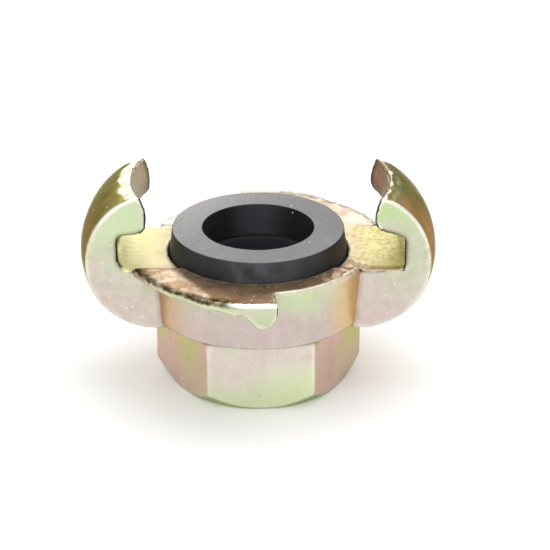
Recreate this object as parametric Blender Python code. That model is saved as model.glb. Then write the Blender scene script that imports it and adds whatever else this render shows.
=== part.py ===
"""Quick disconnect coupler: one half of a claw coupling for compressed-air hose.

A cast body carries two hooked claws on a bored flange above a hexagon with an internal thread.
A separate rubber face seal stands in a turned seat in the flange and lifts straight out.
Axis on Z, hexagon end face on z = 0, claws on +X and -X. Dimensions are in millimetres and
are scaled to metres when the meshes are made.
"""

import math

import bmesh
import bpy

MM = 0.001

# Heights along the axis, from the hexagon end face
FLOOR_Z = 26.9  # machined strip that runs from claw to claw
FLANGE_TOP = 0.8  # how far the flange's cast top stands above that strip
HEX_TOP_Z = 15.0  # where the round collar starts
CLAW_LOW_Z = 14.0  # lowest point of a claw, beside the collar

# Hexagon
HEX_ACROSS_FLATS = 36.0
HEX_TURN = 1.5  # degrees, the casting's turn between its hexagon and its claws
HEX_END_RADIUS = 17.6  # circle left on the end face by the chamfer
HEX_CHAMFER_Z = 3.2

# Collar
COLLAR_LOW_RADIUS = 21.8
COLLAR_TOP_RADIUS = 22.6

# Flange sectors, one each side, each ending in a stop lobe
FLANGE_RADIUS = 26.6
FLANGE_WIDE_RADIUS = 27.8  # over the last third, towards the lobe
FLANGE_UNDER = 1.1  # underside, below the strip
LOBE_UNDER = 4.3
LOBE_ROUND = 3.2
SECTOR_START = 200.0  # degrees, inside the claw
LOBE_START = 259.5
LOBE_FULL = 271.5
LOBE_TURN = 272.0  # where its nose starts to curve up again
SECTOR_END = 277.7

# Claws: an oval outer profile turned about the axis and cut to a slab
CLAW_HALF_WIDTH = 10.3
STRIP_HALF_WIDTH = 10.5
CLAW_CENTRE_RADIUS = 21.6
CLAW_CENTRE_Z = FLOOR_Z + 1.0
CLAW_REACH = 13.75
CLAW_RISE = 15.1
CLAW_DROP = 13.9

# Slot turned inside the claws
SLOT_RADIUS = 29.8
SLOT_HEIGHT = 8.0  # beside the tip
SLOT_ROOF_DROP = 1.1  # how much lower the roof is at the end wall
SLOT_CORNER = 0.5
TIP_LOW_RADIUS = 24.4
TIP_TOP_RADIUS = 25.2

# Seat, bore and thread socket
SEAT_RADIUS = 18.2
SEAT_DEPTH = 2.5
BORE_RADIUS = 11.0
THREAD_RADIUS = 12.06  # crest of a G 3/4 internal thread
THREAD_DEPTH = 16.0
MOUTH_RADIUS = 13.4

# Face seal
SEAL_STAND = 4.8  # above the floor
SEAL_GAP = 0.3  # under it, so that it is clear of the seat
SEAL_TOP_RADIUS = 17.14
SEAL_FLOOR_RADIUS = 17.72
SEAL_LOW_RADIUS = 17.85
SEAL_HOLE_RADIUS = 11.12

TURN_STEPS = 96


def clear_scene():
    for obj in list(bpy.data.objects):
        bpy.data.objects.remove(obj, do_unlink=True)
    for mesh in list(bpy.data.meshes):
        bpy.data.meshes.remove(mesh)


def object_from(name, bm):
    """Turn a bmesh in millimetres into a closed object in metres, faces outward."""
    bmesh.ops.remove_doubles(bm, verts=bm.verts, dist=1e-4)
    axis_edges = [edge for edge in bm.edges if not edge.link_faces]
    bmesh.ops.delete(bm, geom=axis_edges, context="EDGES")
    bmesh.ops.recalc_face_normals(bm, faces=bm.faces)
    for vert in bm.verts:
        vert.co *= MM
    if bm.calc_volume(signed=True) < 0:
        bmesh.ops.reverse_faces(bm, faces=bm.faces)
    mesh = bpy.data.meshes.new(name)
    bm.to_mesh(mesh)
    bm.free()
    obj = bpy.data.objects.new(name, mesh)
    bpy.context.scene.collection.objects.link(obj)
    return obj


def swept(name, angles, profile_at, closed=False):
    """Carry a profile about Z. profile_at(angle) lists (radius, height) corners."""
    bm = bmesh.new()
    rings = []
    for angle in angles:
        turn = math.radians(angle)
        ring = [
            bm.verts.new((r * math.cos(turn), r * math.sin(turn), z))
            for r, z in profile_at(angle)
        ]
        rings.append(ring)
    pairs = list(zip(rings, rings[1:]))
    if closed:
        pairs.append((rings[-1], rings[0]))
    else:
        bm.faces.new(rings[0])
        bm.faces.new(rings[-1])
    count = len(rings[0])
    for here, there in pairs:
        for i in range(count):
            j = (i + 1) % count
            bm.faces.new((here[i], here[j], there[j], there[i]))
    return object_from(name, bm)


def turned(name, profile, steps=TURN_STEPS):
    """A full turn of one fixed profile."""
    angles = [360.0 * i / steps for i in range(steps)]
    return swept(name, angles, lambda angle: profile, closed=True)


def prism(name, corners, low, high):
    """An upright prism on a list of (x, y) corners."""
    bm = bmesh.new()
    foot = [bm.verts.new((x, y, low)) for x, y in corners]
    head = [bm.verts.new((x, y, high)) for x, y in corners]
    bm.faces.new(foot)
    bm.faces.new(head)
    count = len(corners)
    for i in range(count):
        j = (i + 1) % count
        bm.faces.new((foot[i], foot[j], head[j], head[i]))
    return object_from(name, bm)


def combine(target, operation, tool):
    """One exact Boolean, baked into target, after which the tool is removed."""
    modifier = target.modifiers.new(operation.title(), "BOOLEAN")
    modifier.operation = operation
    modifier.solver = "EXACT"
    modifier.object = tool
    tool.hide_render = True
    tool.display_type = "WIRE"
    graph = bpy.context.evaluated_depsgraph_get()
    result = bpy.data.meshes.new_from_object(target.evaluated_get(graph))
    old = target.data
    target.modifiers.clear()
    target.data = result
    result.name = target.name
    bpy.data.meshes.remove(old)
    bpy.data.objects.remove(tool, do_unlink=True)
    merge_slivers(result)


def merge_slivers(mesh):
    """Close up the hair-thin triangles that a Boolean leaves, so that the next one is exact."""
    bm = bmesh.new()
    bm.from_mesh(mesh)
    bmesh.ops.remove_doubles(bm, verts=bm.verts, dist=4e-6)
    bmesh.ops.dissolve_degenerate(bm, edges=bm.edges, dist=1e-6)
    bm.to_mesh(mesh)
    bm.free()


def smooth_step(value):
    value = min(1.0, max(0.0, value))
    return value * value * (3.0 - 2.0 * value)


def collar():
    """The round collar, run past the flange's top so that one cut levels both."""
    top = FLOOR_Z + 2.0
    profile = [
        (0.0, HEX_TOP_Z),
        (COLLAR_LOW_RADIUS - 0.4, HEX_TOP_Z),
        (COLLAR_LOW_RADIUS, HEX_TOP_Z + 0.4),
        (COLLAR_TOP_RADIUS, FLOOR_Z),
        (COLLAR_TOP_RADIUS, top),
        (0.0, top),
    ]
    return turned("collar", profile)


def hexagon():
    """The spanner hexagon with its corners turned off at the end face."""
    corner = HEX_ACROSS_FLATS / 2 / math.cos(math.radians(30))
    turns = [math.radians(60 * i + HEX_TURN) for i in range(6)]
    corners = [(corner * math.cos(t), corner * math.sin(t)) for t in turns]
    block = prism("hexagon", corners, 0.0, HEX_TOP_Z + 1.5)
    slope_top = HEX_END_RADIUS + HEX_CHAMFER_Z
    profile = [
        (0.0, -1.0),
        (HEX_END_RADIUS - 1.0, -1.0),
        (slope_top + 1.0, HEX_CHAMFER_Z + 1.0),
        (slope_top + 1.0, HEX_TOP_Z + 3.0),
        (0.0, HEX_TOP_Z + 3.0),
    ]
    combine(block, "INTERSECT", turned("hexagon_envelope", profile))
    return block


def sector_under(angle):
    """Height of the flange's underside, dipping into the stop lobe and curving up at its end."""
    grown = smooth_step((angle - LOBE_START) / (LOBE_FULL - LOBE_START))
    under = FLANGE_UNDER + (LOBE_UNDER - FLANGE_UNDER) * grown
    past = max(0.0, angle - LOBE_TURN) / (SECTOR_END - LOBE_TURN)
    return FLOOR_Z - under + LOBE_ROUND * (1.0 - math.sqrt(max(0.0, 1.0 - 0.98 * past * past)))


def sector_radius(angle):
    widened = smooth_step((angle - 235.0) / 17.0)
    return FLANGE_RADIUS + (FLANGE_WIDE_RADIUS - FLANGE_RADIUS) * widened


def sector_profile(angle):
    low = sector_under(angle)
    radius = sector_radius(angle)
    return [
        (17.0, FLOOR_Z + 2.0),
        (17.0, low - 1.6),
        (21.3, low - 1.6),
        (23.1, low - 0.5),
        (24.3, low),
        (radius - 0.5, low),
        (radius, low + 0.5),
        (radius, FLOOR_Z + 2.0),
    ]


def sector(name, turn):
    """One wide sector of the flange. The second is the first turned half-way round."""
    count = 22
    span = SECTOR_END - SECTOR_START
    angles = [SECTOR_START + span * i / count for i in range(count + 1)]
    extra = [SECTOR_END - 0.4, SECTOR_END - 1.4]
    angles = sorted(angles + extra)
    return swept(
        name,
        [angle + turn for angle in angles],
        lambda angle: sector_profile(angle - turn),
    )


def claw_profile(angle):
    """The oval outside of a claw, closed inside the collar."""
    points = []
    for step in range(27):
        t = math.radians(82.0 - step * 166.0 / 26)
        reach = CLAW_REACH * math.cos(t)
        rise = (CLAW_RISE if t > 0 else CLAW_DROP) * math.sin(t)
        points.append((CLAW_CENTRE_RADIUS + reach, CLAW_CENTRE_Z + rise))
    points.append((21.2, CLAW_LOW_Z + 0.1))
    points.append((20.4, CLAW_LOW_Z + 1.0))
    points.append((17.0, CLAW_LOW_Z + 3.0))
    points.append((17.0, CLAW_CENTRE_Z + CLAW_RISE))
    return points


def claw(name, middle):
    """One claw: the turned oval, cut to a slab between two flat cheeks."""
    angles = [middle - 42.0 + 3.5 * i for i in range(25)]
    solid = swept(name, angles, claw_profile)
    half = CLAW_HALF_WIDTH
    corners = [(-50.0, -half), (50.0, -half), (50.0, half), (-50.0, half)]
    combine(solid, "INTERSECT", prism(name + "_slab", corners, -5.0, 60.0))
    return solid


def slot_cutter():
    """What is machined away along the strip: the slots inside the claws and their tips."""
    roof = FLOOR_Z + SLOT_HEIGHT
    profile = [
        (0.0, FLOOR_Z),
        (SLOT_RADIUS - SLOT_CORNER, FLOOR_Z),
        (SLOT_RADIUS, FLOOR_Z + SLOT_CORNER),
        (SLOT_RADIUS, roof - SLOT_ROOF_DROP - SLOT_CORNER),
        (SLOT_RADIUS - SLOT_CORNER, roof - SLOT_ROOF_DROP),
        (TIP_LOW_RADIUS + 1.5, roof),
        (TIP_LOW_RADIUS + 0.6, roof + 0.4),
        (TIP_LOW_RADIUS + 0.1, roof + 1.3),
        (TIP_LOW_RADIUS - 0.1, roof + 2.8),
        (TIP_LOW_RADIUS + 0.1, roof + 4.8),
        (TIP_TOP_RADIUS, roof + 7.0),
        (TIP_TOP_RADIUS + 1.5, roof + 12.0),
        (0.0, roof + 12.0),
    ]
    cutter = turned("slot_cutter", profile, 120)
    half = STRIP_HALF_WIDTH
    corners = [(-50.0, -half), (50.0, -half), (50.0, half), (-50.0, half)]
    combine(cutter, "INTERSECT", prism("strip_slab", corners, 20.0, 60.0))
    return cutter


def top_cutter():
    """Brings the collar and the sectors to one cast height."""
    corners = [(-40.0, -40.0), (40.0, -40.0), (40.0, 40.0), (-40.0, 40.0)]
    low = FLOOR_Z + FLANGE_TOP
    return prism("top_cutter", corners, low, low + 5.0)


def bore_cutter():
    """The seal seat, the bore and the thread socket with its countersunk mouth."""
    seat = FLOOR_Z - SEAT_DEPTH
    profile = [
        (0.0, -1.0),
        (MOUTH_RADIUS + 1.0, -1.0),
        (THREAD_RADIUS, MOUTH_RADIUS - THREAD_RADIUS),
        (THREAD_RADIUS, THREAD_DEPTH),
        (BORE_RADIUS, THREAD_DEPTH + 0.6),
        (BORE_RADIUS, seat),
        (SEAT_RADIUS, seat),
        (SEAT_RADIUS, FLOOR_Z + 3.0),
        (0.0, FLOOR_Z + 3.0),
    ]
    return turned("bore_cutter", profile)


def coupling_body():
    body = collar()
    body.name = "coupling_body"
    combine(body, "UNION", hexagon())
    combine(body, "UNION", sector("sector_front", 0.0))
    combine(body, "UNION", sector("sector_back", -180.0))
    combine(body, "DIFFERENCE", top_cutter())
    combine(body, "UNION", claw("claw_right", 0.0))
    combine(body, "UNION", claw("claw_left", 180.0))
    combine(body, "DIFFERENCE", slot_cutter())
    combine(body, "DIFFERENCE", bore_cutter())
    return body


def seal_ring():
    low = FLOOR_Z - SEAT_DEPTH + SEAL_GAP
    top = FLOOR_Z + SEAL_STAND
    profile = [
        (SEAL_HOLE_RADIUS, low + 0.4),
        (SEAL_HOLE_RADIUS + 0.4, low),
        (SEAL_LOW_RADIUS - 0.3, low),
        (SEAL_LOW_RADIUS, low + 0.3),
        (SEAL_FLOOR_RADIUS, FLOOR_Z),
        (SEAL_TOP_RADIUS + 0.1, top - 0.7),
        (SEAL_TOP_RADIUS - 0.15, top - 0.2),
        (SEAL_TOP_RADIUS - 0.7, top),
        (SEAL_HOLE_RADIUS + 0.3, top),
        (SEAL_HOLE_RADIUS, top - 0.3),
    ]
    return turned("seal_ring", profile)


def finish(obj, colour, roughness, metallic):
    """Shade the round faces smooth and give the object its own material."""
    mesh = obj.data
    mesh.shade_smooth()
    mesh.set_sharp_from_angle(angle=math.radians(28))
    material = bpy.data.materials.new(obj.name + "_material")
    material.use_nodes = True
    shader = material.node_tree.nodes["Principled BSDF"]
    shader.inputs["Base Color"].default_value = (*colour, 1.0)
    shader.inputs["Roughness"].default_value = roughness
    shader.inputs["Metallic"].default_value = metallic
    mesh.materials.clear()
    mesh.materials.append(material)


def main():
    clear_scene()
    finish(coupling_body(), (0.62, 0.50, 0.30), 0.38, 0.85)
    finish(seal_ring(), (0.035, 0.035, 0.038), 0.65, 0.0)


main()
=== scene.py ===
"""The look of the claw coupling half: a worn, chromated casting with a rubber face seal."""

import math

import bmesh
import bpy
import numpy as np
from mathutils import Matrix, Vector, noise


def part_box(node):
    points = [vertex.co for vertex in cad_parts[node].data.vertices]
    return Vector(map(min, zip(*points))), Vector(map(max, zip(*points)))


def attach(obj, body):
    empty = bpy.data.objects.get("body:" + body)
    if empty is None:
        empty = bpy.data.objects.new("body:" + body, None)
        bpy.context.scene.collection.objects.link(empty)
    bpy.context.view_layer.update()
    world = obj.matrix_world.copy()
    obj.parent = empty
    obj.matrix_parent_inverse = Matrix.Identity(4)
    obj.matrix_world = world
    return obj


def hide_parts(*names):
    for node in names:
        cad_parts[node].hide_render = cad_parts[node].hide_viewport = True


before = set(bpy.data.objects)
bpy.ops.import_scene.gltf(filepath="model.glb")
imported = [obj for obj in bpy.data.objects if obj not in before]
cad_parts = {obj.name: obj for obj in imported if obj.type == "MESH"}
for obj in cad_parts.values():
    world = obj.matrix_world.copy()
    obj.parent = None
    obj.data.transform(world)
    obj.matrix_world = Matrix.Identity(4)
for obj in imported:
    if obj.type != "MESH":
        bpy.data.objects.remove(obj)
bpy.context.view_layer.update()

MM = 0.001
VOXEL = 0.40

# Places that the CAD fixes, in millimetres
SEAL_LOW, SEAL_HIGH = (Vector(corner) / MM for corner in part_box("seal_ring"))
SEAL_SUNK = 2.2  # how far the seal's foot lies below the strip
FLOOR_Z = SEAL_LOW.z + SEAL_SUNK

# Shapes carried over from the CAD, made again with a finer step, in millimetres and degrees.
# Here the lobes hang 0.2 deeper, and the seat is 0.15 smaller in radius.
HEX_TOP_Z = 15.0
CLAW_LOW_Z = 14.0
HEX_FLATS, HEX_TURN = 36.0, 1.5
COLLAR_LOW_RADIUS, COLLAR_TOP_RADIUS = 21.8, 22.6
FLANGE_TOP = 0.8
FLANGE_RADIUS, FLANGE_WIDE_RADIUS = 26.6, 27.8
FLANGE_UNDER, LOBE_UNDER = 1.1, 4.5
SECTOR_START, LOBE_TURN, SECTOR_END = 200.0, 272.0, 277.7
CLAW_HALF_WIDTH, STRIP_HALF_WIDTH = 10.3, 10.5
CLAW_CENTRE = (21.6, FLOOR_Z + 1.0)
CLAW_REACH, CLAW_RISE, CLAW_DROP = 13.75, 15.1, 13.9
SLOT_RADIUS, SLOT_HEIGHT, SLOT_SHIFT = 29.8, 8.0, 0.5
TIP_RADIUS = 24.4
SEAT_RADIUS, SEAT_DEPTH = 18.05, 2.5
BORE_RADIUS = 11.0
THREAD_CREST, THREAD_ROOT, THREAD_PITCH, THREAD_DEPTH = 12.06, 13.22, 1.814, 16.0
THREAD_MOUTH = 13.4
SLEEVE_RADIUS = 13.6
SEAL_HOLE_RADIUS, SEAL_TOP_RADIUS = 11.12, 17.14
SEAL_NECK_RADIUS, SEAL_FOOT_RADIUS = 17.72, 17.85
SUNK_RADIUS = 17.0  # where parts end inside the collar that they are joined to
SPARE = 2.0  # what stands over the floor until it is cut level

# Zones of the casting's surface, in millimetres
CLAW_ZONE = 10.6  # within this of the X axis lie the claws and the strip
RIM_ZONE, RIM_RADIUS = 10.7, 24.8  # beyond these lies the flange's rim

# Zones of its colours, in metres
SHOULDER = (0.0142, 0.0152)  # heights of the step from hexagon to collar
CHEEK = (0.0105, 0.0120)  # distances from the X axis that leave the claws behind

# The marks that the mesh stores for its material
MARKS = (
    "wear_and_highlight",
    "shade_and_dark_lines",
    "milled",
    "slot",
    "top",
    "rim",
    "outer",
    "tip",
    "ragged",
    "shade_line",
    "lip",
    "step",
    "beaten",
    "inside",
)
FINE_MARKS = ("wear_and_highlight", "shade_and_dark_lines", "shade_line", "beaten")  # blurred less than the others
# The thread: coloured like the strip, with about half the bore's painted shade
THREAD_MARKS = {"milled": 1.0, "inside": 0.55}

# The camera, in metres and millimetres of lens and sensor
CAMERA_RISE, CAMERA_DISTANCE = 24.8, 0.45
CAMERA_LENS, CAMERA_SENSOR = 147.3, 36.0
AIM_RIGHT, AIM_DOWN = 0.00334, 0.0054


# ---------------------------------------------------------------- meshes


def object_from(name, bm):
    """Turn a bmesh in millimetres into a closed object in metres, faces outward."""
    bmesh.ops.remove_doubles(bm, verts=bm.verts, dist=1e-4)
    axis_edges = [edge for edge in bm.edges if not edge.link_faces]
    bmesh.ops.delete(bm, geom=axis_edges, context="EDGES")
    bmesh.ops.recalc_face_normals(bm, faces=bm.faces)
    for vert in bm.verts:
        vert.co *= MM
    if bm.calc_volume(signed=True) < 0:
        bmesh.ops.reverse_faces(bm, faces=bm.faces)
    mesh = bpy.data.meshes.new(name)
    bm.to_mesh(mesh)
    bm.free()
    obj = bpy.data.objects.new(name, mesh)
    bpy.context.scene.collection.objects.link(obj)
    return obj


def swept(name, angles, profile_at, closed=False):
    """Carry a profile about Z. profile_at(angle) lists (radius, height) corners."""
    bm = bmesh.new()
    rings = []
    for angle in angles:
        c, s = math.cos(math.radians(angle)), math.sin(math.radians(angle))
        rings.append([bm.verts.new((r * c, r * s, z)) for r, z in profile_at(angle)])
    pairs = list(zip(rings, rings[1:]))
    if closed:
        pairs.append((rings[-1], rings[0]))
    else:
        bm.faces.new(rings[0])
        bm.faces.new(rings[-1])
    count = len(rings[0])
    for here, there in pairs:
        for i in range(count):
            j = (i + 1) % count
            bm.faces.new((here[i], here[j], there[j], there[i]))
    return object_from(name, bm)


def turned(name, profile, steps=240):
    """A full turn of one profile about Z."""
    angles = [360.0 * i / steps for i in range(steps)]
    return swept(name, angles, lambda angle: profile, closed=True)


def prism(name, corners, low, high):
    """An upright block on a flat polygon."""
    bm = bmesh.new()
    foot = [bm.verts.new((x, y, low)) for x, y in corners]
    head = [bm.verts.new((x, y, high)) for x, y in corners]
    bm.faces.new(foot)
    bm.faces.new(head)
    for i in range(len(corners)):
        j = (i + 1) % len(corners)
        bm.faces.new((foot[i], foot[j], head[j], head[i]))
    return object_from(name, bm)


def box_solid(name, low, high):
    corners = [(low[0], low[1]), (high[0], low[1]), (high[0], high[1]), (low[0], high[1])]
    return prism(name, corners, low[2], high[2])


def bake(obj):
    """Replace the object's mesh with what its modifiers make of it."""
    graph = bpy.context.evaluated_depsgraph_get()
    result = bpy.data.meshes.new_from_object(obj.evaluated_get(graph))
    old = obj.data
    obj.modifiers.clear()
    obj.data = result
    bpy.data.meshes.remove(old)
    result.name = obj.name


def tidy(obj):
    """Merge the hair-thin triangles that a Boolean leaves, so that the next one is exact."""
    bm = bmesh.new()
    bm.from_mesh(obj.data)
    bmesh.ops.remove_doubles(bm, verts=bm.verts, dist=4e-6)
    bmesh.ops.dissolve_degenerate(bm, edges=bm.edges, dist=1e-6)
    bm.to_mesh(obj.data)
    bm.free()


def combine(target, operation, tool):
    modifier = target.modifiers.new(operation.title(), "BOOLEAN")
    modifier.operation = operation
    modifier.solver = "EXACT"
    modifier.object = tool
    bake(target)
    tidy(target)
    bpy.data.objects.remove(tool, do_unlink=True)


def smooth_step(value):
    value = min(1.0, max(0.0, value))
    return value * value * (3.0 - 2.0 * value)


# ---------------------------------------------------------------- casting


def sector_radius(angle):
    widened = smooth_step((angle - 235.0) / 17.0)
    return FLANGE_RADIUS + (FLANGE_WIDE_RADIUS - FLANGE_RADIUS) * widened


def sector_profile(angle):
    """The flange's section. Its underside slopes down, dips into the stop lobe and curves up."""
    grown = 0.18 * smooth_step((angle - 252.0) / 10.0)
    grown += 0.82 * smooth_step((angle - 263.4) / 7.6)
    under = FLANGE_UNDER + (LOBE_UNDER - FLANGE_UNDER) * grown
    foot = 1.0 - 0.75 * grown
    past = min(1.0, max(0.0, angle - LOBE_TURN) / (SECTOR_END - LOBE_TURN))
    low = FLOOR_Z - under + 3.2 * (1.0 - math.sqrt(1.0 - 0.98 * past * past))
    radius = sector_radius(angle)
    return [
        (SUNK_RADIUS, FLOOR_Z + SPARE),
        (SUNK_RADIUS, low - 1.6 * foot),
        (21.3, low - 1.6 * foot),
        (23.1, low - 0.5 * foot),
        (24.3 - 0.7 * grown, low),
        (radius - 0.6, low),
        (radius - 0.15, low + 0.15),
        (radius, low + 0.6),
        (radius, FLOOR_Z + SPARE),
    ]


def sector(name, turn):
    """One of the flange's two wide sectors, which ends in a stop lobe."""
    count = 78
    span = SECTOR_END - SECTOR_START
    angles = [SECTOR_START + span * i / count for i in range(count + 1)]
    places = [angle + turn for angle in angles]
    return swept(name, places, lambda angle: sector_profile(angle - turn))


def claw_profile(angle):
    """The oval outside of a claw, drawn in a little towards its two cheeks."""
    points = []
    for step in range(61):
        t = math.radians(82.0 - step * 166.0 / 60)
        reach = CLAW_REACH * math.cos(t)
        rise = (CLAW_RISE if t > 0 else CLAW_DROP) * math.sin(t)
        points.append((CLAW_CENTRE[0] + reach, CLAW_CENTRE[1] + rise))
    points.append((21.2, CLAW_LOW_Z + 0.1))
    points.append((20.4, CLAW_LOW_Z + 1.0))
    points.append((SUNK_RADIUS, CLAW_LOW_Z + 3.0))
    points.append((SUNK_RADIUS, CLAW_CENTRE[1] + CLAW_RISE))
    return points


def claw(name, middle):
    """A hooked claw, still without its slot, cut flat at both cheeks."""
    angles = [middle - 42.0 + 1.5 * i for i in range(57)]
    solid = swept(name, angles, claw_profile)
    half = CLAW_HALF_WIDTH
    combine(solid, "INTERSECT", box_solid("slab", (-50, -half, -5), (50, half, 60)))
    return solid


def hexagon():
    """The spanner hexagon, chamfered below by a cone."""
    corner = HEX_FLATS / 2 / math.cos(math.radians(30))
    turns = [math.radians(60 * i + HEX_TURN) for i in range(6)]
    corners = [(corner * math.cos(t), corner * math.sin(t)) for t in turns]
    block = prism("hexagon", corners, 0.0, HEX_TOP_Z + 1.5)
    envelope = [(0.0, -1.0), (16.6, -1.0), (21.8, 4.2), (21.8, 18.0), (0.0, 18.0)]
    combine(block, "INTERSECT", turned("envelope", envelope))
    return block


def collar():
    profile = [
        (0.0, HEX_TOP_Z),
        (COLLAR_LOW_RADIUS - 0.4, HEX_TOP_Z),
        (COLLAR_LOW_RADIUS, HEX_TOP_Z + 0.4),
        (COLLAR_TOP_RADIUS, FLOOR_Z),
        (COLLAR_TOP_RADIUS, FLOOR_Z + SPARE),
        (0.0, FLOOR_Z + SPARE),
    ]
    return turned("collar", profile)


def slot_profile(angle):
    """The space under a hook. On the left its corners are rounder and the nose hangs lower."""
    roof = FLOOR_Z + SLOT_HEIGHT
    left = smooth_step(0.5 - math.cos(math.radians(angle)))
    return [
        (0.0, FLOOR_Z),
        (SLOT_RADIUS - 0.3 - 1.4 * left, FLOOR_Z),
        (SLOT_RADIUS - 0.8 * left, FLOOR_Z + 0.3),
        (SLOT_RADIUS - 0.3 * left, FLOOR_Z + 1.6),
        (SLOT_RADIUS, roof - 1.6 + 0.3 * left),
        (SLOT_RADIUS - 0.5, roof - 1.1 + 0.3 * left),
        (TIP_RADIUS + 1.5, roof - 0.45 * left),
        (TIP_RADIUS + 0.6, roof + 0.4 - 0.5 * left),
        (TIP_RADIUS + 0.1, roof + 1.3 - 0.4 * left),
        (TIP_RADIUS - 0.1, roof + 2.8),
        (TIP_RADIUS + 0.1, roof + 4.8),
        (TIP_RADIUS + 0.8, roof + 7.0),
        (TIP_RADIUS + 2.3, roof + 12.0),
        (0.0, roof + 12.0),
    ]


def slot_cutter():
    """What the strip, the two slots and the hooks' inner ends leave open."""
    angles = [1.2 * i for i in range(300)]
    cutter = swept("slot_cutter", angles, slot_profile, closed=True)
    half = STRIP_HALF_WIDTH
    combine(cutter, "INTERSECT", box_solid("strip_slab", (-50, -half, 20), (50, half, 60)))
    cutter.location.x = SLOT_SHIFT * MM
    bpy.context.view_layer.update()
    return cutter


def bore_cutter():
    """The way through: thread socket, bore and seal seat."""
    seat = FLOOR_Z - SEAT_DEPTH
    profile = [
        (0.0, -1.0),
        (SLEEVE_RADIUS, -1.0),
        (SLEEVE_RADIUS, THREAD_DEPTH),
        (BORE_RADIUS, THREAD_DEPTH + 0.6),
        (BORE_RADIUS, seat),
        (SEAT_RADIUS, seat),
        (SEAT_RADIUS, FLOOR_Z + 3.0),
        (0.0, FLOOR_Z + 3.0),
    ]
    return turned("bore_cutter", profile)


def sharp_casting():
    """The whole casting with sharp edges, joined and cut like the CAD."""
    body = collar()
    body.name = "chromated_casting"
    combine(body, "UNION", hexagon())
    combine(body, "UNION", sector("sector_front", 0.0))
    combine(body, "UNION", sector("sector_back", -180.0))
    level = FLOOR_Z + FLANGE_TOP
    combine(body, "DIFFERENCE", box_solid("level", (-40, -40, level), (40, 40, level + 5)))
    combine(body, "UNION", claw("claw_right", 0.0))
    combine(body, "UNION", claw("claw_left", 180.0))
    combine(body, "DIFFERENCE", slot_cutter())
    combine(body, "DIFFERENCE", bore_cutter())
    return body


def vertex_array(mesh):
    """The mesh's points, in millimetres."""
    points = np.empty(len(mesh.vertices) * 3)
    mesh.vertices.foreach_get("co", points)
    return points.reshape(-1, 3) / MM


def set_vertices(mesh, points):
    mesh.vertices.foreach_set("co", (points * MM).astype(np.float32).ravel())
    mesh.update()


def normals_of(mesh):
    normals = np.empty(len(mesh.vertices) * 3)
    mesh.vertex_normals.foreach_get("vector", normals)
    return normals.reshape(-1, 3)


class Links:
    """The mesh's edges, for averages over each vertex's neighbours."""

    def __init__(self, mesh):
        edges = np.empty(len(mesh.edges) * 2, np.int64)
        mesh.edges.foreach_get("vertices", edges)
        self.a, self.b = edges.reshape(-1, 2).T
        self.count = len(mesh.vertices)
        ends = np.concatenate([self.a, self.b])
        self.degree = np.bincount(ends, minlength=self.count).astype(float)

    def average(self, values):
        values = values.reshape(self.count, -1)
        out = np.empty_like(values)
        for k in range(values.shape[1]):
            column = values[:, k]
            total = np.bincount(self.a, column[self.b], self.count)
            total += np.bincount(self.b, column[self.a], self.count)
            out[:, k] = total / self.degree
        return out

    def spread(self, values, times):
        for _ in range(times):
            values = 0.5 * values + 0.5 * self.average(values)[:, 0]
        return values


def ramp(values, low, high):
    t = np.clip((values - low) / (high - low), 0, 1)
    return t * t * (3 - 2 * t)


def noise_at(points, scale, seed):
    """Smooth noise from -1 to 1 on points in millimetres, one blob per scale."""
    offset = Vector((seed * 7.31, seed * 3.17, seed * 5.77))
    return np.array([noise.noise(Vector(p) / scale + offset) for p in points])


def flange_places(points):
    """Where each point is: height over the strip, radius, turn within a half, and on a rim."""
    x, y, z = points.T
    height = z - FLOOR_Z
    radius = np.hypot(x, y)
    turn = np.degrees(np.arctan2(y, x)) % 180.0
    rim = (radius > RIM_RADIUS) & (np.abs(y) > RIM_ZONE) & (turn > 20) & (turn < 98.2)
    return height, radius, turn, rim


def relief(points, normals):
    """Cast waviness, the ragged flange edge, the parting line and the beaten claw tips."""
    x, y, _ = points.T
    height, radius, turn, rim = flange_places(points)
    strip = (np.abs(height) < 0.3) & (normals[:, 2] > 0.8) & (np.abs(y) < CLAW_ZONE)
    seat = (radius < SEAT_RADIUS + 0.5) & (height > -3)
    cast = np.where(strip | seat, 0.12, 1.0)
    move = 0.06 * noise_at(points, 5.0, 1) * cast
    move += 0.03 * noise_at(points, 1.6, 2) * cast
    edge = rim * np.exp(-(((height - 0.5) / 0.7) ** 2)) * ramp(radius, RIM_RADIUS, 26.0)
    edge *= 1.0 - 0.75 * ramp(turn, 78.0, 84.0)
    move += edge * (0.30 * noise_at(points, 0.8, 3) - 0.05)
    claw_side = (radius > 23) & (np.abs(y) < CLAW_ZONE) & (np.abs(normals[:, 1]) < 0.7)
    outside = claw_side & (normals[:, 0] * x + normals[:, 2] * (height - 1.0) * 3 > 0)
    ridge = np.exp(-((y / 0.45) ** 2)) * ramp(height, 8.0, 11.0)
    move += np.where(outside, 0.14 * ridge, 0.0)
    beaten = ramp(-radius, -28.4, -27.2) * (height > SLOT_HEIGHT) * outside
    move -= beaten * (0.10 + 0.34 * noise_at(points, 1.7, 4))
    sunk = (height > 0.4) & (height < 1.3) & (normals[:, 2] > 0.7) & (x > 0) & (y > 10)
    move -= sunk * 0.75 * (1.0 - ramp(y, 10.8, 14.0))
    return move


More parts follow.
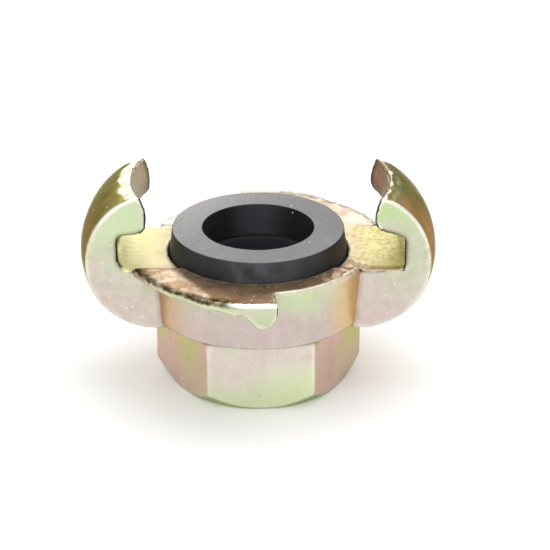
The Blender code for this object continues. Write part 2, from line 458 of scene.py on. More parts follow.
def masks(points, normals, bend):
    """The values from 0 to 1 of every one of MARKS. Bend is positive on outer edges."""
    x, y, z = points.T
    height, radius, turn, rim = flange_places(points)
    up, side = normals[:, 2], np.abs(normals[:, 1])
    radial = (normals[:, 0] * x + normals[:, 1] * y) / np.maximum(radius, 1e-6)
    on_claw = (radius > 22.5) & (np.abs(y) < CLAW_ZONE)

    # Faces
    strip = (np.abs(height) < 0.4) & (up > 0.75) & (np.abs(y) < 10.45)
    # Walls of the slots, which get painted shade
    slot = on_claw & (height > 0.15) & (height < 8.2) & (radial < -0.5)
    roof = on_claw & (height > 7.4) & (height < 8.6) & (up < -0.5)
    # The bore and the seal's seat, which get painted shade, the seat half as much
    inside = (radius < SEAT_RADIUS + 0.6) & (height < 0.6) & (z > 1.0) & (radial < 0.3)
    inside &= (up < 0.7) | (radius < SEAT_RADIUS - 0.2)
    seat = (radius > BORE_RADIUS + 1.0) & (height > -SEAT_DEPTH - 0.5)
    away = radial * (radius - CLAW_CENTRE[0]) + up * (height - 1.0)
    outer = on_claw & (side < 0.62) & (away > 4.0)
    tip = on_claw & (height > 7.6) & (radial < -0.35) & (radius < 27)
    top = (height > 0.35) & (height < 1.4) & (up > 0.6) & ~on_claw

    # The broken edge of the flange, and the beaten patches on the claw tips
    broken = 0.55 + 0.45 * ramp(noise_at(points, 1.6, 5), -0.3, 0.2)
    ragged = rim * (radius > 25.6) * (1.0 - ramp(turn, 76.0, 86.0)) * broken
    beaten = ramp(0.9 * noise_at(points, 1.8, 6) - radius - 0.8 * (x > 0), -27.9, -27.1)

    # Painted shade lines: round the slots' end walls, along the strip, and at the lobes' ends
    shifted = np.hypot(x - SLOT_SHIFT, y)
    mouth = on_claw & (height > -0.5) & (height < 8.6) & (shifted < SLOT_RADIUS + 1.2)
    wall = np.exp(-(((shifted - SLOT_RADIUS - 0.05) / 0.32) ** 2)) * on_claw
    wall = wall * ramp(height, -0.5, 0.0) * ramp(-height, -7.6, -6.0) * ramp(np.abs(y), 9.0, 9.8)
    wall = np.where(x < 0, wall * ramp(height, 0.8, 2.2), wall)
    shade_line = np.exp(-(((np.abs(y) - 10.45) / 0.3) ** 2)) * (height > -0.5) * (height < 1.1)
    shade_line = shade_line * (shifted < SLOT_RADIUS + 0.2) * (0.6 + 0.4 * (x > 0))
    shade_line = shade_line * np.where((y > 0) & (shifted < 24.5), 0.1, 1.0)
    lobe_end = np.exp(-(((turn - 97.6) / 0.5) ** 2))
    lobe_end = lobe_end * (radius > 22.8) * (height < 0.7) * (np.abs(y) > 15)
    # Where the raised flange's painted shadow lines the strip in front
    step = (height > -0.6) & (height < 1.2) & (radius < 27.5) & (y < 0)

    # Bright on outer edges, rubbed and with a painted highlight, and painted shade in corners,
    # but painted shade on both where the hook is sharp
    hook_edge = mouth | tip
    wear_and_highlight = np.clip(bend * (1.3 + 0.9 * on_claw) - 0.25 - 0.5 * on_claw, 0, 1)
    # Painted shade: in hollow corners, and along the hook's sharp edges
    shade_and_dark_lines = np.where(hook_edge & (height > 0.6), np.abs(bend), -bend)
    shade_and_dark_lines = np.clip(shade_and_dark_lines * 1.5 - 0.25, 0, 1)
    shade_and_dark_lines = shade_and_dark_lines * np.where(mouth & (height < 0.6) & (np.abs(y) < 10.0), 0.2, 1.0)
    shade_and_dark_lines = shade_and_dark_lines * np.where((y > 9) & (height < 1.4) & ~mouth, 0.1, 1.0)
    found = {
        "wear_and_highlight": wear_and_highlight * (1.0 - hook_edge),
        "shade_and_dark_lines": shade_and_dark_lines,
        "milled": strip | roof,
        "slot": slot,
        "top": top,
        "rim": rim & (up < 0.6),
        "outer": outer,
        "tip": tip,
        "ragged": ragged,
        "shade_line": np.maximum(np.maximum(0.8 * shade_line, wall), 0.9 * lobe_end),
        "lip": rim * ramp(turn, 75.0, 83.0),
        "step": step,
        "beaten": outer * beaten * (height > SLOT_HEIGHT),
        "inside": inside * np.where(seat, 0.5, 1.0),
    }
    return {name: found[name].astype(float) for name in MARKS}


def store(mesh, name, values):
    layer = mesh.attributes.new(name, "FLOAT", "POINT")
    layer.data.foreach_set("value", values.astype(np.float32))


def casting():
    """The body as cast: the sharp solid rounded by a voxel pass and given its relief."""
    body = sharp_casting()
    remesh = body.modifiers.new("Remesh", "REMESH")
    remesh.mode = "VOXEL"
    remesh.voxel_size = VOXEL * MM
    bake(body)
    mesh = body.data
    links = Links(mesh)
    points = vertex_array(mesh)
    shrink, swell, last = 0.55, -0.56, 0.5
    for push in [shrink, swell] * 5 + [last]:
        points = points + push * (links.average(points) - points)
    set_vertices(mesh, points)
    normals = normals_of(mesh)
    gap = ((points - links.average(points)) * normals).sum(axis=1)
    bend = 7.0 * links.spread(gap / VOXEL, 2)
    marks = masks(points, normals, bend)
    set_vertices(mesh, points + normals * relief(points, normals)[:, None])
    for name, values in marks.items():
        times = 1 if name in FINE_MARKS else 2
        store(mesh, name, links.spread(values, times))
    mesh.shade_smooth()
    return body


def thread_radius(turn, z):
    """The wall of a right-handed 55 degree thread with round crests, run out at its top."""
    phase = (z / THREAD_PITCH - turn / 360.0) % 1.0
    wave = abs(phase * 2 - 1)
    deep = smooth_step((wave - 0.12) / 0.76) * 0.5 + np.clip((wave - 0.1) / 0.8, 0, 1) * 0.5
    fade = smooth_step((THREAD_DEPTH - 0.6 - z) / 2.5)
    wall = THREAD_CREST + (THREAD_ROOT - THREAD_CREST) * deep * fade
    return max(wall, THREAD_MOUTH - z)


def thread_sleeve():
    """The threaded wall of the socket, set into the casting's plain bore."""
    rows = 140
    heights = [-0.02 + (THREAD_DEPTH + 0.3) * i / (rows - 1) for i in range(rows)]
    sunk = SLEEVE_RADIUS + 0.3

    def profile(turn):
        inner = [(thread_radius(turn, z), z) for z in heights]
        return [*inner, (sunk, heights[-1]), (sunk, 0.6), (14.3, 0.35)]

    steps = 160
    sleeve = swept("internal_thread", [360.0 * i / steps for i in range(steps)], profile, True)
    sleeve.data.shade_smooth()
    sleeve.data.set_sharp_from_angle(angle=math.radians(40))
    count = len(sleeve.data.vertices)
    for name in MARKS:
        store(sleeve.data, name, np.full(count, THREAD_MARKS.get(name, 0.0)))
    return sleeve


# ---------------------------------------------------------------- seal


def rounded(points, radii, steps=5):
    """A closed polygon with its corners rounded."""
    out = []
    count = len(points)
    for i in range(count):
        here = Vector(points[i])
        before = (Vector(points[i - 1]) - here).normalized()
        after = (Vector(points[(i + 1) % count]) - here).normalized()
        for k in range(steps + 1):
            t = k / steps
            a, b = here + before * radii[i], here + after * radii[i]
            out.append(tuple(a * (1 - t) ** 2 + here * 2 * t * (1 - t) + b * t * t))
    return out


def seal():
    """The ring with its hidden foot, finely divided and waved a little."""
    low, top = SEAL_LOW.z, SEAL_HIGH.z
    corners = [
        (SEAL_HOLE_RADIUS, low),
        (SEAL_FOOT_RADIUS, low),
        (SEAL_NECK_RADIUS, FLOOR_Z),
        (SEAL_TOP_RADIUS, top),
        (SEAL_HOLE_RADIUS, top),
    ]
    outline = rounded(corners, [0.4, 0.3, 0.5, 0.22, 0.2])
    ring = []
    for i, (r, z) in enumerate(outline):
        next_r, next_z = outline[(i + 1) % len(outline)]
        parts = int(math.hypot(next_r - r, next_z - z) / 0.5)
        ring.append((r, z))
        for k in range(1, parts):
            t = k / parts
            ring.append((r + (next_r - r) * t, z + (next_z - z) * t))
    steps = 256
    obj = swept("rubber_seal", [360.0 * i / steps for i in range(steps)], lambda a: ring, True)
    mesh = obj.data
    mesh.shade_smooth()
    points, normals = vertex_array(mesh), normals_of(mesh)
    move = 0.035 * noise_at(points, 4.0, 8) + 0.012 * noise_at(points, 0.9, 9)
    set_vertices(mesh, points + normals * (move - 0.03)[:, None])
    return obj


# ---------------------------------------------------------------- materials


def linear(*rgb):
    """An sRGB colour of 0 to 255 as linear values."""
    out = [v / 255 / 12.92 if v < 10.3 else ((v / 255 + 0.055) / 1.055) ** 2.4 for v in rgb]
    return (*out, 1.0)


class Shader:
    """A material under construction."""

    def __init__(self, name):
        self.material = bpy.data.materials.new(name)
        self.material.use_nodes = True
        self.tree = self.material.node_tree
        self.bsdf = self.tree.nodes["Principled BSDF"]
        self.place = self.new("ShaderNodeTexCoord").outputs["Object"]
        normal = self.new("ShaderNodeTexCoord").outputs["Normal"]
        self.split_normal = self.new("ShaderNodeSeparateXYZ")
        self.join(normal, self.split_normal.inputs[0])
        self.split_place = self.new("ShaderNodeSeparateXYZ")
        self.join(self.place, self.split_place.inputs[0])

    def new(self, kind):
        return self.tree.nodes.new(kind)

    def join(self, source, target):
        if hasattr(source, "is_linked"):
            self.tree.links.new(source, target)
        else:
            target.default_value = source

    def math(self, operation, a, b=0.0):
        node = self.new("ShaderNodeMath")
        node.operation = operation
        self.join(a, node.inputs[0])
        self.join(b, node.inputs[1])
        return node.outputs[0]

    def plus(self, a, b):
        return self.math("ADD", a, b)

    def minus(self, a, b):
        return self.math("SUBTRACT", a, b)

    def times(self, a, b):
        return self.math("MULTIPLY", a, b)

    def most(self, a, b):
        return self.math("MAXIMUM", a, b)

    def size(self, a):
        return self.math("ABSOLUTE", a)

    def range(self, value, low, high, to_low=0.0, to_high=1.0):
        """A smooth step from to_low, where value is low, to to_high, where it is high."""
        node = self.new("ShaderNodeMapRange")
        node.interpolation_type = "SMOOTHSTEP"
        self.join(value, node.inputs["Value"])
        node.inputs["From Min"].default_value = low
        node.inputs["From Max"].default_value = high
        node.inputs["To Min"].default_value = to_low
        node.inputs["To Max"].default_value = to_high
        return node.outputs[0]

    def mix(self, factor, a, b):
        node = self.new("ShaderNodeMix")
        node.data_type = "RGBA"
        self.join(factor, node.inputs["Factor"])
        self.join(a, node.inputs[6])
        self.join(b, node.inputs[7])
        return node.outputs[2]

    def blend(self, factor, first, second):
        """From one sRGB colour to another."""
        return self.mix(factor, linear(*first), linear(*second))

    def tint(self, factor, under, *rgb):
        """One sRGB colour laid over another colour."""
        return self.mix(factor, under, linear(*rgb))

    def value(self, name):
        """One of the marks that the mesh stores."""
        node = self.new("ShaderNodeAttribute")
        node.attribute_name = name
        return node.outputs["Fac"]

    def stretched(self, x, y, z):
        node = self.new("ShaderNodeMapping")
        self.join(self.place, node.inputs["Vector"])
        node.inputs["Scale"].default_value = (x, y, z)
        return node.outputs[0]

    def noise(self, scale, detail=3.0, rough=0.55, vector=None, shift=0.0):
        """Noise with blobs of about 1 / scale metres, between about 0.25 and 0.75."""
        node = self.new("ShaderNodeTexNoise")
        node.noise_dimensions = "4D"
        self.join(self.place if vector is None else vector, node.inputs["Vector"])
        node.inputs["W"].default_value = shift
        node.inputs["Scale"].default_value = scale
        node.inputs["Detail"].default_value = detail
        node.inputs["Roughness"].default_value = rough
        return node.outputs["Fac"]

    def specks(self, scale, size, share):
        """Round specks, on that share of the cells of a grid with 1 / scale metre cells."""
        node = self.new("ShaderNodeTexVoronoi")
        self.join(self.place, node.inputs["Vector"])
        node.inputs["Scale"].default_value = scale
        near = self.range(node.outputs["Distance"], size, size * 0.5)
        pick = self.new("ShaderNodeSeparateColor")
        self.join(node.outputs["Color"], pick.inputs[0])
        chosen = self.math("LESS_THAN", pick.outputs[0], share)
        return self.math("MULTIPLY", near, chosen)

    def bump(self, height, distance, strength, under=None):
        node = self.new("ShaderNodeBump")
        self.join(height, node.inputs["Height"])
        node.inputs["Distance"].default_value = distance
        node.inputs["Strength"].default_value = strength
        if under is not None:
            self.join(under, node.inputs["Normal"])
        return node.outputs[0]


class Coat(Shader):
    """The casting's material, with the noises and places that several of its layers share."""

    def __init__(self, name):
        super().__init__(name)
        self.nx, self.ny, self.nz = self.split_normal.outputs
        self.x, self.y, self.z = self.split_place.outputs
        self.drift = self.noise(70.0, 1.5, 0.45, shift=1.0)
        self.fine = self.noise(420.0, 4.0, 0.6, shift=2.0)
        self.crumbs = self.noise(1100.0, 3.0, 0.7, shift=6.0)
        self.flecks = self.noise(760.0, 4.0, 0.75, shift=11.0)
        self.patches = self.noise(260.0, 3.0, 0.6, shift=12.0)
        self.shade = self.range(self.fine, 0.3, 0.7)
        self.left = self.range(self.x, 0.01, -0.01)
        squared = self.plus(self.times(self.x, self.x), self.times(self.y, self.y))
        self.squared = self.plus(squared, self.times(self.flecks, 0.00012))


def side_colour(s):
    """Pink, grey and green that change with height, and tan painted shade on faces turned to the
    sides.
    """
    level = s.plus(s.times(s.z, 26.0), s.times(s.drift, 0.45))
    level = s.plus(level, 0.17)
    pink = s.blend(s.shade, (196, 180, 173), (212, 200, 190))
    grey = s.blend(s.shade, (188, 190, 164), (204, 205, 184))
    green = s.blend(s.shade, (182, 206, 146), (198, 212, 168))
    green = s.tint(s.range(s.x, 0.0, -0.03, 0.0, 0.55), green, 208, 214, 186)
    low_green = s.blend(s.shade, (206, 218, 176), (218, 224, 192))
    rim = s.blend(s.shade, (160, 178, 120), (188, 205, 158))
    pale = s.mix(s.range(level, 0.92, 1.12), pink, grey)
    pale = s.mix(s.range(level, 1.18, 1.36), pale, green)
    pale = s.mix(s.range(level, 0.66, 0.50), pale, s.tint(0.5, grey, 228, 224, 206))
    # Paler green at the foot: partly the coat's own green, partly painted light so that the foot
    # is as bright as the faces above
    pale = s.mix(s.range(level, 0.52, 0.42), pale, low_green)
    pale = s.mix(s.times(s.value("rim"), 0.8), pale, rim)
    pale = s.tint(s.times(s.value("ragged"), 0.6), pale, 150, 152, 108)

    # The collar is darker, with a green crown under the flange, and the hexagon paler
    beyond = s.range(s.size(s.y), *CHEEK)
    shaft = s.times(beyond, s.range(s.z, *SHOULDER, 0.0, 0.45))
    pale = s.tint(shaft, pale, 188, 172, 168)
    pale = s.tint(s.range(s.z, *reversed(SHOULDER), 0.0, 0.35), pale, 236, 226, 216)
    crown = s.times(s.range(s.z, 0.0215, 0.0258, 0.0, 0.7), s.range(s.z, 0.0290, 0.0277))
    pale = s.tint(s.times(crown, beyond), pale, 196, 210, 168)
    cloud = s.noise(120.0, 2.0, 0.5, shift=20.0)
    pale = s.tint(s.range(cloud, 0.52, 0.64, 0.0, 0.4), pale, 216, 192, 196)
    pale = s.tint(s.range(cloud, 0.46, 0.34, 0.0, 0.4), pale, 202, 216, 170)
    pale = s.tint(s.range(level, 0.60, 0.45, 0.0, 0.8), pale, 210, 224, 176)

    # Painted shade: tan on the hexagon's side faces, and warmer on the sides of the collar, with
    # painted light making its right side lighter
    part = s.range(s.drift, 0.4, 0.6)
    warm = s.blend(part, (208, 164, 142), (214, 180, 144))
    lit = s.blend(part, (222, 176, 138), (230, 194, 138))
    warm = s.mix(s.range(s.x, -0.01, 0.01), warm, lit)
    tan = s.blend(s.range(cloud, 0.40, 0.56), (224, 192, 182), (212, 202, 152))
    tan = s.tint(s.range(s.z, 0.0100, 0.0040, 0.0, 0.6), tan, 226, 200, 190)
    tan = s.mix(s.range(s.z, *SHOULDER), tan, warm)
    return s.mix(s.range(s.size(s.nx), 0.54, 0.88), pale, tan)


def claw_colour(s, band):
    """The outside of a claw: olive along its middle, tan or brown towards its cheeks, with a
    painted pale sheen where it turns edge-on to the camera.
    """
    across = s.plus(s.size(s.y), s.times(s.drift, 0.006))
    across = s.range(across, 0.003, 0.0095)
    gold = s.blend(across, (148, 146, 76), (196, 154, 106))
    gold = s.tint(s.times(across, s.left), gold, 158, 132, 82)
    # Painted sheen, pale, where the outside turns edge-on to the camera
    gold = s.mix(band, gold, s.blend(s.left, (150, 150, 100), (186, 188, 146)))
    gold = s.tint(s.times(s.range(s.nz, 0.35, 0.9), s.left), gold, 164, 156, 88)
    gold = s.tint(s.times(s.shade, 0.3), gold, 172, 156, 104)
    peak = s.times(s.range(s.z, 0.0397, 0.0411, 0.0, 0.7), s.range(s.x, -0.01, 0.01))
    gold = s.tint(peak, gold, 134, 142, 104)
    smear = s.noise(150.0, 2.0, 0.5, shift=14.0)
    return s.tint(s.range(smear, 0.50, 0.66, 0.0, 0.5), gold, 142, 134, 82)


def tip_colour(s):
    """The hook's inner end, with painted shade that darkens it towards its sides."""
    face = s.blend(s.range(s.x, -0.02, 0.02), (180, 162, 132), (146, 108, 76))
    return s.tint(s.range(s.size(s.y), 0.0078, 0.0102), face, 64, 54, 40)


def peach_colour(s):
    """Thin, flecked coat on the flange and near the seal."""
    peach = s.blend(s.range(s.patches, 0.4, 0.62), (238, 220, 196), (184, 152, 122))
    peach = s.tint(s.range(s.flecks, 0.40, 0.64, 0.0, 0.5), peach, 186, 148, 116)
    return s.tint(s.range(s.flecks, 0.60, 0.68, 0.0, 0.5), peach, 112, 80, 52)


def milled_colour(s, peach):
    """The strip: yellow, streaked on the left, gritty on the right, peach near the seal."""
    streak = s.noise(1.0, 3.0, 0.6, s.stretched(260.0, 1500.0, 400.0))
    milled = s.blend(s.range(streak, 0.4, 0.6), (252, 247, 176), (255, 254, 208))
    scuffs = s.noise(1.0, 4.0, 0.75, s.stretched(420.0, 1700.0, 400.0), shift=9.0)
    grit = s.mix(s.range(s.x, 0.0, 0.01), scuffs, s.noise(900.0, 4.0, 0.75, shift=10.0))
    grit = s.times(s.range(grit, 0.52, 0.64), s.range(s.x, -0.01, 0.01, 0.3, 0.75))
    milled = s.tint(grit, milled, 150, 128, 62)
    milled = s.tint(s.range(scuffs, 0.44, 0.34, 0.0, 0.8), milled, 255, 253, 226)
    milled = s.tint(s.range(s.x, 0.014, 0.024, 0.0, 0.5), milled, 232, 220, 132)
    cream = s.times(s.range(s.flecks, 0.5, 0.42), s.range(s.x, 0.012, 0.02, 0.0, 0.55))
    milled = s.tint(cream, milled, 240, 230, 190)
    middle = s.plus(s.size(s.x), s.times(s.patches, 0.006))
    milled = s.mix(s.range(middle, 0.0285, 0.0195), milled, s.tint(0.5, peach, 250, 238, 196))
    right = s.range(s.x, 0.011, 0.014)
    cast_grit = s.times(s.range(s.crumbs, 0.50, 0.62, 0.0, 0.5), right)
    milled = s.tint(cast_grit, milled, 186, 156, 100)
    grime = s.plus(s.y, s.times(s.crumbs, 0.004))
    grime = s.times(s.range(grime, -0.0060, -0.0076, 0.0, 0.75), right)
    return s.tint(grime, milled, 150, 108, 72)


def flange_colour(s, peach):
    """The flange's top: a painted reflection of the dark seal, brown in a crescent round it, and
    a painted highlight that makes it paler at the back.
    """
    # Painted reflection of the dark seal: a brown crescent in front of it
    forward = s.times(s.math("SIGN", s.y), -1.0)
    along = s.plus(s.times(s.x, forward), s.times(s.flecks, 0.004))
    reach = s.range(along, -0.014, -0.003, 0.000450, 0.000800)
    brown = s.range(s.minus(s.squared, reach), 0.00007, -0.00004, 0.0, 0.92)
    # Painted highlight: paler towards the back, most on the left
    back = s.times(s.range(s.y, 0.0, 0.01), s.range(s.x, 0.02, -0.02, 0.35, 0.85))
    return s.tint(back, s.tint(brown, peach, 136, 110, 86), 250, 246, 232)


def gravelled(s, colour):
    """Coarse grit on the right of the strip and of the flange, in front."""
    gravel = s.times(s.range(s.x, 0.0115, 0.0140), s.range(s.x, 0.0240, 0.0195))
    gravel = s.times(gravel, s.range(s.y, -0.0030, -0.0070))
    gravel = s.times(gravel, s.most(s.value("milled"), s.value("top")))
    stones = s.noise(760.0, 2.0, 0.5, shift=16.0)
    stones = s.blend(s.range(stones, 0.42, 0.58), (246, 222, 198), (150, 112, 82))
    return s.mix(s.times(gravel, 0.65), colour, stones)


def worn(s, colour):
    """Rubbed edges with painted highlights along them, which are crisp on the claws only."""
    crisp = s.plus(s.value("wear_and_highlight"), s.times(s.fine, 0.5))
    crisp = s.times(s.range(crisp, 0.46, 0.72), s.range(s.z, 0.0285, 0.034))
    fading = s.times(s.range(s.z, 0.0375, 0.0345), s.left)
    crisp = s.times(crisp, s.minus(1.0, fading))
    bright = s.times(s.value("wear_and_highlight"), s.range(s.fine, 0.3, 0.55, 0.4, 1.0))
    return s.tint(s.most(bright, crisp), colour, 252, 248, 232)


def beaten_tips(s, colour):
    """The pale beaten patch on each claw's tip: the colour with it, and where it is."""
    beaten = s.times(s.noise(700.0, 3.0, 0.6, shift=15.0), 0.9)
    beaten = s.plus(s.value("beaten"), beaten)
    near = s.times(s.range(beaten, 0.62, 0.95, 0.0, 0.6), s.left)
    colour = s.tint(near, colour, 204, 200, 122)
    beaten = s.range(beaten, 0.90, 1.12)
    scuffed = s.blend(s.range(s.x, -0.02, 0.02), (255, 246, 226), (250, 226, 206))
    scuffed = s.tint(s.range(s.patches, 0.46, 0.60, 0.0, 0.25), scuffed, 232, 206, 164)
    scuffed = s.tint(s.range(s.flecks, 0.52, 0.64, 0.0, 0.5), scuffed, 158, 122, 88)
    return s.mix(beaten, colour, scuffed), beaten


def edge_lines(s, colour):
    """Painted shade round the tips, the torn rim, painted shade lines and corners, and a painted
    highlight on each lobe's lip.
    """
    # Painted shade outlines the hook's inner end
    tip_edge = s.size(s.minus(s.value("tip"), 0.5))
    colour = s.tint(s.range(tip_edge, 0.42, 0.20, 0.0, 0.88), colour, 70, 54, 36)
    off = s.plus(s.z, s.times(s.crumbs, 0.0011))
    off = s.size(s.minus(off, (FLOOR_Z + FLANGE_TOP - 0.28) * MM + 0.00055))
    frayed = s.times(s.value("ragged"), s.range(s.y, 0.006, -0.006, 0.35, 1.0))
    torn = s.times(s.range(off, 0.00080, 0.00040, 0.0, 0.7), frayed)
    colour = s.tint(torn, colour, 122, 108, 66)
    line = s.times(s.range(off, 0.00050, 0.00018), frayed)
    # Painted shadow: a dark line along the strip's front edges, below the raised flange
    step = s.plus(s.size(s.y), s.times(s.crumbs, 0.0012))
    step = s.size(s.minus(step, STRIP_HALF_WIDTH * MM + 0.0006))
    step = s.times(s.range(step, 0.0004, 0.00015), s.value("step"))
    # Painted shade lines along the strip, round the slots' end walls and at the lobes' ends
    shade_line = s.plus(s.value("shade_line"), s.times(s.crumbs, 0.9))
    shade_and_dark_lines = s.most(s.value("shade_and_dark_lines"), s.range(shade_line, 0.84, 1.0))
    shade_and_dark_lines = s.most(shade_and_dark_lines, s.most(line, step))
    # One dark tint for the painted shade and for the torn rim's own dark line
    colour = s.tint(s.times(shade_and_dark_lines, 0.88), colour, 46, 34, 14)
    # Painted highlight: a white line along each lobe's top edge
    lip = s.size(s.minus(s.z, (FLOOR_Z + FLANGE_TOP - 0.15) * MM))
    lip = s.times(s.range(lip, 0.0006, 0.0003), s.value("lip"))
    out = s.plus(s.squared, s.times(s.crumbs, 0.00004))
    lip = s.times(lip, s.range(out, 0.000800, 0.000822))
    return s.tint(lip, colour, 255, 255, 250)


def casting_material():
    """Yellow iridescent chromate on a casting: pink, green and gold drift into each other."""
    s = Coat("iridescent_chromate")
    inside = s.value("inside")
    # Painted sheen: pale where faces turn edge-on to the camera, on the claws' outside
    facing = s.minus(s.times(s.nz, 0.42), s.times(s.ny, 0.91))
    band = s.range(s.size(facing), 0.26, 0.06, 0.0, 0.85)
    peach = peach_colour(s)
    # Painted shade on the walls of the slots
    slot = s.blend(s.shade, (150, 136, 84), (172, 158, 106))
    colour = s.mix(s.value("outer"), side_colour(s), claw_colour(s, band))
    colour = s.mix(s.value("tip"), colour, tip_colour(s))
    colour = s.mix(s.value("milled"), colour, milled_colour(s, peach))
    colour = s.mix(s.value("top"), colour, flange_colour(s, peach))
    colour = s.mix(s.value("slot"), colour, slot)
    colour = gravelled(s, colour)
    # Painted glints: small white specks
    glint_specks = s.most(s.specks(640.0, 0.13, 0.45), s.specks(1150.0, 0.14, 0.3))
    colour = s.tint(s.times(glint_specks, 0.8), colour, 255, 253, 246)
    pits = s.specks(520.0, 0.16, 0.16)
    colour = s.tint(s.times(pits, 0.3), colour, 120, 106, 70)
    colour, beaten = beaten_tips(s, worn(s, colour))
    colour = edge_lines(s, colour)
    # Painted shade: the bore and seat turned dark grey
    s.join(s.tint(inside, colour, 54, 54, 58), s.bsdf.inputs["Base Color"])

    bare = s.most(s.times(beaten, 0.9), inside)
    bare = s.most(bare, s.times(s.value("milled"), 0.4))
    bare = s.most(bare, s.times(band, s.value("outer")))
    bare = s.most(bare, s.times(s.value("tip"), 0.6))
    s.join(s.minus(0.8, s.times(bare, 0.8)), s.bsdf.inputs["Metallic"])
    s.bsdf.inputs["Specular IOR Level"].default_value = 0.2
    s.bsdf.inputs["Specular Tint"].default_value = (0.22, 0.20, 0.13, 1.0)
    rough = s.plus(s.range(s.fine, 0.3, 0.7, 0.30, 0.44), s.times(inside, 0.4))
    s.join(rough, s.bsdf.inputs["Roughness"])
    coarse = s.bump(s.fine, 0.0004, 0.22)
    grain = s.noise(1900.0, 2.0, 0.6, shift=3.0)
    small = s.bump(grain, 0.00012, 0.35, coarse)
    s.join(s.bump(glint_specks, 0.0001, 0.5, small), s.bsdf.inputs["Normal"])
    return s.material


def rubber_material():
    """Moulded black rubber, grey on its flat top, which is dusty and carries a painted sheen."""
    s = Shader("seal_rubber")
    x, y = s.split_place.outputs[:2]
    sideways, up = s.size(s.split_normal.outputs[0]), s.split_normal.outputs[2]
    blotch = s.noise(170.0, 3.0, 0.6, shift=4.0)
    fine = s.noise(900.0, 3.0, 0.6, shift=5.0)
    grain = s.noise(2300.0, 2.0, 0.6, shift=17.0)

    # The sides, with painted shade where they face left or right, and a painted reflection, a
    # cool grey, in the hole
    black = s.blend(s.range(blotch, 0.35, 0.7), (38, 38, 42), (80, 81, 85))
    radius = s.math("SQRT", s.plus(s.times(x, x), s.times(y, y)))
    black = s.tint(s.range(radius, 0.0128, 0.0118), black, 60, 62, 68)
    black = s.tint(s.range(sideways, 0.15, 0.6, 0.0, 0.85), black, 22, 22, 24)

    # The top: dusty grey with a painted sheen, and painted light that makes it paler towards the
    # back left
    dust_and_sheen = s.blend(s.range(blotch, 0.35, 0.65), (118, 118, 119), (142, 141, 140))
    dust_and_sheen = s.tint(s.range(fine, 0.35, 0.7), dust_and_sheen, 130, 127, 126)
    dust_and_sheen = s.tint(s.range(grain, 0.52, 0.62, 0.0, 0.5), dust_and_sheen, 92, 92, 94)
    dust_and_sheen = s.tint(s.range(grain, 0.46, 0.36, 0.0, 0.5), dust_and_sheen, 166, 164, 160)
    lean = s.minus(s.times(y, 0.6), x)
    dust_and_sheen = s.mix(s.range(lean, -0.008, 0.020), s.tint(0.55, dust_and_sheen, 96, 96, 97), dust_and_sheen)
    dust_and_sheen = s.tint(s.range(lean, 0.006, 0.024, 0.0, 0.6), dust_and_sheen, 166, 164, 160)
    colour = s.mix(s.range(up, 0.55, 0.92), black, dust_and_sheen)
    colour = s.tint(s.specks(300.0, 0.07, 0.12), colour, 225, 222, 216)
    s.join(colour, s.bsdf.inputs["Base Color"])
    s.join(s.range(blotch, 0.3, 0.7, 0.42, 0.62), s.bsdf.inputs["Roughness"])
    s.join(s.bump(fine, 0.0001, 0.35), s.bsdf.inputs["Normal"])
    return s.material


def floor_material():
    s = Shader("pale_floor")
    colour = s.blend(s.noise(9.0, 2.0, 0.5), (250, 250, 250), (255, 255, 255))
    s.join(colour, s.bsdf.inputs["Base Color"])
    s.bsdf.inputs["Roughness"].default_value = 0.9
    s.bsdf.inputs["Specular IOR Level"].default_value = 0.1
    return s.material


# ---------------------------------------------------------------- scene


def area_light(name, place, aim, size, power, colour=(1, 1, 1)):
    data = bpy.data.lights.new(name, "AREA")
    data.shape = "RECTANGLE"
    data.size, data.size_y = size
    data.energy = power
    data.color = colour
    light = bpy.data.objects.new(name, data)
    light.location = place
    light.rotation_euler = (Vector(aim) - Vector(place)).to_track_quat("-Z", "Y").to_euler()
    bpy.context.scene.collection.objects.link(light)


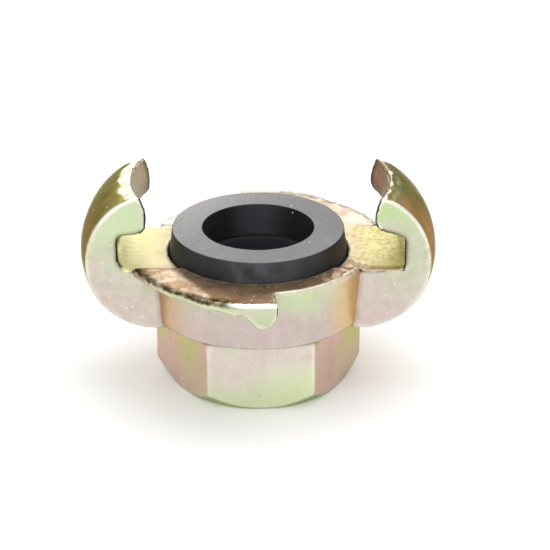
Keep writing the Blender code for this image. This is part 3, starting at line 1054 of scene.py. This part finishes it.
def room_light():
    """A white room with a dim band low behind the part."""
    world = bpy.data.worlds.new("studio")
    bpy.context.scene.world = world
    world.use_nodes = True
    tree = world.node_tree
    background = tree.nodes["Background"]
    background.inputs["Strength"].default_value = 0.8
    place = tree.nodes.new("ShaderNodeTexCoord")
    split = tree.nodes.new("ShaderNodeSeparateXYZ")
    tree.links.new(place.outputs["Generated"], split.inputs[0])

    def dim(source, low, high):
        node = tree.nodes.new("ShaderNodeMapRange")
        node.interpolation_type = "SMOOTHSTEP"
        node.inputs["From Min"].default_value = low
        node.inputs["From Max"].default_value = high
        tree.links.new(source, node.inputs["Value"])
        return node.outputs[0]

    def product(a, b):
        node = tree.nodes.new("ShaderNodeMath")
        node.operation = "MULTIPLY"
        tree.links.new(a, node.inputs[0])
        tree.links.new(b, node.inputs[1])
        return node.outputs[0]

    behind = dim(split.outputs[1], 0.1, 0.6)
    level = product(dim(split.outputs[2], 0.34, 0.16), dim(split.outputs[2], 0.07, 0.13))
    mix = tree.nodes.new("ShaderNodeMix")
    mix.data_type = "RGBA"
    mix.inputs[6].default_value = (1.0, 1.0, 1.0, 1.0)
    mix.inputs[7].default_value = (0.16, 0.14, 0.11, 1.0)
    tree.links.new(product(behind, level), mix.inputs["Factor"])
    tree.links.new(mix.outputs[2], background.inputs["Color"])


def studio():
    """A broad key from the front, a soft top and a card behind that lights the flat tops."""
    room_light()
    aim = (0.0, 0.0, 0.025)
    area_light("key", (-0.10, -0.55, 0.40), aim, (0.5, 0.35), 1.1)
    area_light("top", (0.05, 0.12, 0.60), aim, (0.6, 0.5), 1.5)
    area_light("card", (-0.05, 0.85, 0.50), aim, (0.9, 0.30), 1.6)
    floor = bpy.data.meshes.new("floor")
    far = 4.0
    corners = [(-far, -far, 0), (far, -far, 0), (far, far, 0), (-far, far, 0)]
    floor.from_pydata(corners, [], [(0, 1, 2, 3)])
    floor.materials.append(floor_material())
    ground = bpy.data.objects.new("floor", floor)
    ground.location.z = -0.0001  # clear of the hexagon's foot
    bpy.context.scene.collection.objects.link(ground)
    bpy.context.scene.view_settings.view_transform = "Standard"


def camera():
    """A long lens in front of the part, about 25 degrees above the horizon."""
    rise = math.radians(CAMERA_RISE)
    floor_centre = Vector((0.0, 0.0, FLOOR_Z * MM))
    back = Vector((0.0, -math.cos(rise), math.sin(rise)))
    upward = Vector((0.0, math.sin(rise), math.cos(rise)))
    data = bpy.data.cameras.new("camera")
    data.sensor_width = CAMERA_SENSOR
    data.lens = CAMERA_LENS
    data.clip_start = 0.01
    obj = bpy.data.objects.new("camera", data)
    obj.location = floor_centre + back * CAMERA_DISTANCE
    aim = floor_centre + Vector((AIM_RIGHT, 0.0, 0.0)) - upward * AIM_DOWN
    obj.rotation_euler = (aim - obj.location).to_track_quat("-Z", "Y").to_euler()
    bpy.context.scene.collection.objects.link(obj)
    bpy.context.scene.camera = obj


def main():
    camera()
    studio()
    metal = casting_material()
    body, thread, ring = casting(), thread_sleeve(), seal()
    for piece in (body, thread):
        piece.data.materials.clear()
        piece.data.materials.append(metal)
        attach(piece, "coupling")
        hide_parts("coupling_body")
    ring.data.materials.append(rubber_material())
    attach(ring, "seal")
    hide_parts("seal_ring")


main()
